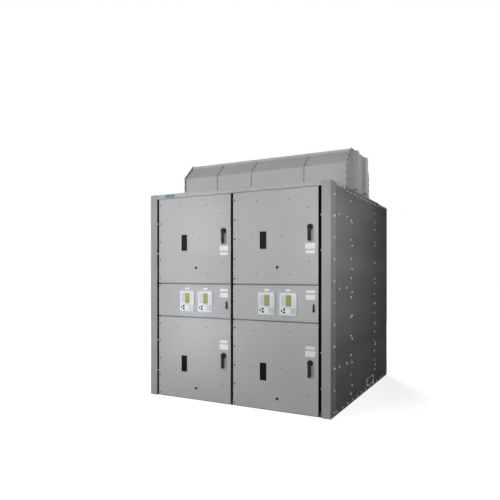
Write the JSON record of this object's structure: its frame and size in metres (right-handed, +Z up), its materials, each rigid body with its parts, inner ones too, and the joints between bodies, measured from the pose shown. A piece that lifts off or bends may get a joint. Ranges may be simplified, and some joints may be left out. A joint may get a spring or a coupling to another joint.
{
  "type": "metal-clad switchgear line-up",
  "caption": "Grey sheet-steel medium-voltage switchgear line-up with hinged breaker and control doors, turning handles, relays and a chamfered exhaust duct along the roof.",
  "frame": {"origin": "on the floor at the middle of the enclosure's plan", "axes": "+Z up, the doors face -Y, +X to the right of someone facing the doors"},
  "size_m": [2.324, 2.579, 2.935],
  "materials": {
    "door_paint": "satin",
    "trim_paint": "satin",
    "side_paint": "satin",
    "duct_paint": "satin",
    "inner_paint": "satin",
    "base_steel": "satin",
    "hinge_steel": "satin",
    "sight_glass": "polished",
    "black_plastic": "satin",
    "relay_plastic": "satin"
  },
  "bodies": {
    "enclosure": {"base_frame": "base_steel", "left_side_sheets": "side_paint", "right_side_sheets": "side_paint", "cell_partition": "inner_paint", "left_shelves": "inner_paint", "right_shelves": "inner_paint", "front_posts": "inner_paint", "front_header": "door_paint", "left_end_trim": "trim_paint", "right_end_trim": "trim_paint", "roof_sheets": "side_paint", "lifting_angles": "side_paint", "duct_section_1": "duct_paint", "duct_section_2": "duct_paint", "duct_section_3": "duct_paint", "duct_section_4": "duct_paint", "duct_left_end": "duct_paint", "duct_right_end": "duct_paint", "rear_post": "inner_paint", "rear_covers": "door_paint", "left_hinges": "hinge_steel", "right_hinges": "hinge_steel"},
    "left_upper_door": {"left_upper_door": "door_paint", "left_upper_window": "sight_glass", "left_upper_port_cover": "black_plastic"},
    "left_upper_handle": {"left_upper_handle": "black_plastic"},
    "left_control_door": {"left_control_door": "door_paint", "left_relays": "relay_plastic"},
    "left_latch": {"left_latch": "black_plastic"},
    "left_lower_door": {"left_lower_door": "door_paint", "left_lower_window": "sight_glass", "left_lower_port_cover": "black_plastic"},
    "left_lower_handle": {"left_lower_handle": "black_plastic"},
    "right_upper_door": {"right_upper_door": "door_paint", "right_upper_window": "sight_glass", "right_upper_port_cover": "black_plastic"},
    "right_upper_handle": {"right_upper_handle": "black_plastic"},
    "right_control_door": {"right_control_door": "door_paint", "right_relays": "relay_plastic"},
    "right_latch": {"right_latch": "black_plastic"},
    "right_lower_door": {"right_lower_door": "door_paint", "right_lower_window": "sight_glass", "right_lower_port_cover": "black_plastic"},
    "right_lower_handle": {"right_lower_handle": "black_plastic"}
  },
  "joints": [
    {"name": "left_upper_door_hinge", "type": "hinge", "parent": "enclosure", "child": "left_upper_door", "pos_m": [-1.03, -1.261, 1.861], "axis": [0, 0, -1], "range_deg": [0, 90]},
    {"name": "left_upper_handle_turn", "type": "hinge", "parent": "left_upper_door", "child": "left_upper_handle", "pos_m": [-0.103, -1.27, 1.952], "axis": [0, 1, 0], "range_deg": [0, 90]},
    {"name": "left_control_door_hinge", "type": "hinge", "parent": "enclosure", "child": "left_control_door", "pos_m": [-1.03, -1.261, 1.157], "axis": [0, 0, -1], "range_deg": [0, 90]},
    {"name": "left_latch_turn", "type": "hinge", "parent": "left_control_door", "child": "left_latch", "pos_m": [-0.063, -1.27, 1.084], "axis": [0, -1, 0], "range_deg": [0, 90]},
    {"name": "left_lower_door_hinge", "type": "hinge", "parent": "enclosure", "child": "left_lower_door", "pos_m": [-1.03, -1.261, 0.485], "axis": [0, 0, -1], "range_deg": [0, 90]},
    {"name": "left_lower_handle_turn", "type": "hinge", "parent": "left_lower_door", "child": "left_lower_handle", "pos_m": [-0.103, -1.27, 0.553], "axis": [0, 1, 0], "range_deg": [0, 90]},
    {"name": "right_upper_door_hinge", "type": "hinge", "parent": "enclosure", "child": "right_upper_door", "pos_m": [0, -1.261, 1.861], "axis": [0, 0, -1], "range_deg": [0, 90]},
    {"name": "right_upper_handle_turn", "type": "hinge", "parent": "right_upper_door", "child": "right_upper_handle", "pos_m": [0.927, -1.27, 1.952], "axis": [0, 1, 0], "range_deg": [0, 90]},
    {"name": "right_control_door_hinge", "type": "hinge", "parent": "enclosure", "child": "right_control_door", "pos_m": [0, -1.261, 1.157], "axis": [0, 0, -1], "range_deg": [0, 90]},
    {"name": "right_latch_turn", "type": "hinge", "parent": "right_control_door", "child": "right_latch", "pos_m": [0.967, -1.27, 1.084], "axis": [0, -1, 0], "range_deg": [0, 90]},
    {"name": "right_lower_door_hinge", "type": "hinge", "parent": "enclosure", "child": "right_lower_door", "pos_m": [0, -1.261, 0.485], "axis": [0, 0, -1], "range_deg": [0, 90]},
    {"name": "right_lower_handle_turn", "type": "hinge", "parent": "right_lower_door", "child": "right_lower_handle", "pos_m": [0.927, -1.27, 0.553], "axis": [0, 1, 0], "range_deg": [0, 90]}
  ]
}
